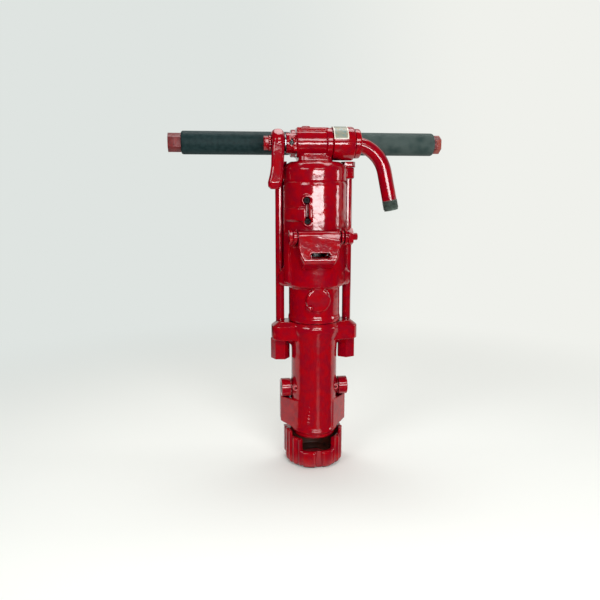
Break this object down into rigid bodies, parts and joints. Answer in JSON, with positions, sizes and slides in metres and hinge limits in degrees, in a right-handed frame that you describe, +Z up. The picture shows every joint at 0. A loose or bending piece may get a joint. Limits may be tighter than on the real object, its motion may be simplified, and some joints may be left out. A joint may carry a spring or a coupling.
{
  "type": "pneumatic rock drill",
  "caption": "Hand-held compressed-air rock drill with a T handle, throttle lever, swivelling air inlet pipe, exhaust deflector, side rods and a swinging steel retainer.",
  "frame": {"origin": "on the drill axis, at the flat bottom of the steel retainer, which the drill stands on", "axes": "+Z up along the drill axis, X along the handle with the air inlet at +X, -Y to the front, where the exhaust deflector is, +Y to the back, where the handle is"},
  "size_m": [0.4861, 0.166, 0.589],
  "materials": {
    "red_enamel": "glossy deep red enamel",
    "handle_end_paint": "worn orange-red paint",
    "grip_rubber": "matt dark green-grey",
    "seal_rubber": "matt black",
    "dark_steel": "dark oiled steel",
    "bright_steel": "ground steel",
    "bronze": "machined bronze"
  },
  "bodies": {
    "machine": {"fronthead": "red_enamel", "cylinder": "red_enamel", "backhead": "red_enamel", "chuck_sleeve": "bronze", "stem_sleeve": "bronze", "side_rod_left": "red_enamel", "side_rod_nut_left": "red_enamel", "side_rod_right": "red_enamel", "side_rod_nut_right": "red_enamel", "valve_chest": "dark_steel", "rifle_bar": "bright_steel", "ratchet_ring": "dark_steel", "exhaust_deflector": "red_enamel", "deflector_bolt": "red_enamel", "deflector_washer": "red_enamel", "deflector_lock_washer": "red_enamel", "deflector_nut": "red_enamel", "oil_plug": "dark_steel", "air_plug": "dark_steel", "lubricator_nipple": "dark_steel", "inlet_body": "red_enamel", "inlet_nut": "red_enamel", "inlet_seal": "seal_rubber", "air_strainer": "dark_steel", "handle_bolt": "handle_end_paint", "handle_nut": "handle_end_paint", "handle_tube_left": "dark_steel", "grip_left": "grip_rubber", "handle_tube_right": "dark_steel", "grip_right": "grip_rubber", "throttle_stop_screw": "red_enamel", "detent_cap": "red_enamel", "detent_spring": "dark_steel", "retainer_bolt_left": "dark_steel", "retainer_washer_left": "dark_steel", "hinge_lock_screw_left": "red_enamel", "retainer_bolt_right": "dark_steel", "retainer_washer_right": "dark_steel", "hinge_lock_screw_right": "red_enamel"},
    "throttle": {"throttle_lever": "red_enamel", "throttle_valve": "bright_steel", "lever_lock_washer": "red_enamel", "lever_nut": "red_enamel"},
    "air_inlet": {"gooseneck": "red_enamel"},
    "retainer": {"retainer": "red_enamel"},
    "chuck": {"chuck": "dark_steel", "chuck_insert": "bright_steel", "chuck_nut": "dark_steel"},
    "piston": {"piston_hammer": "bright_steel", "rifle_nut": "bronze"},
    "valve": {"distributing_valve": "bright_steel"},
    "detent": {"detent_plunger": "bright_steel"},
    "pawl_1": {"pawl_1": "bright_steel"},
    "pawl_2": {"pawl_2": "bright_steel"},
    "pawl_3": {"pawl_3": "bright_steel"},
    "pawl_4": {"pawl_4": "bright_steel"}
  },
  "joints": [
    {"name": "throttle_turn", "type": "hinge", "parent": "machine", "child": "throttle", "pos_m": [0, 0, 0.561], "axis": [-1, 0, 0], "range_deg": [0, 75]},
    {"name": "inlet_swivel", "type": "hinge", "parent": "machine", "child": "air_inlet", "pos_m": [0.055, 0, 0.561], "axis": [1, 0, 0], "range_deg": [-200, 40]},
    {"name": "retainer_swing", "type": "hinge", "parent": "machine", "child": "retainer", "pos_m": [0, 0, 0.137], "axis": [1, 0, 0], "range_deg": [0, 75]},
    {"name": "piston_stroke", "type": "slide", "parent": "chuck", "child": "piston", "axis": [0, 0, 1], "range_m": [0, 0.058]},
    {"name": "chuck_turn", "type": "hinge", "parent": "machine", "child": "chuck", "pos_m": [0, 0, 0.1], "axis": [0, 0, 1], "range_deg": [0, 28]},
    {"name": "valve_shift", "type": "slide", "parent": "machine", "child": "valve", "axis": [0, 0, 1], "range_m": [0, 0.003]},
    {"name": "detent_press", "type": "slide", "parent": "machine", "child": "detent", "axis": [0, 0, 1], "range_m": [0, 0.0015], "stiffness_N_per_m": 2000, "springref_m": -0.002, "deforming": ["detent_spring"]},
    {"name": "pawl_rock_1", "type": "hinge", "parent": "machine", "child": "pawl_1", "pos_m": [0.02106, 0.01043, 0.485], "axis": [0, 0, -1], "range_deg": [0, 12]},
    {"name": "pawl_rock_2", "type": "hinge", "parent": "machine", "child": "pawl_2", "pos_m": [-0.01043, 0.02106, 0.485], "axis": [0, 0, -1], "range_deg": [0, 12]},
    {"name": "pawl_rock_3", "type": "hinge", "parent": "machine", "child": "pawl_3", "pos_m": [-0.02106, -0.01043, 0.485], "axis": [0, 0, -1], "range_deg": [0, 12]},
    {"name": "pawl_rock_4", "type": "hinge", "parent": "machine", "child": "pawl_4", "pos_m": [0.01043, -0.02106, 0.485], "axis": [0, 0, -1], "range_deg": [0, 12]}
  ],
  "couplings": [
    {"joint": "chuck_turn", "follows": "piston_stroke", "rad_per_m": 8.2457},
    {"joint": "pawl_rock_2", "follows": "pawl_rock_1", "ratio": 1},
    {"joint": "pawl_rock_3", "follows": "pawl_rock_1", "ratio": 1},
    {"joint": "pawl_rock_4", "follows": "pawl_rock_1", "ratio": 1}
  ]
}
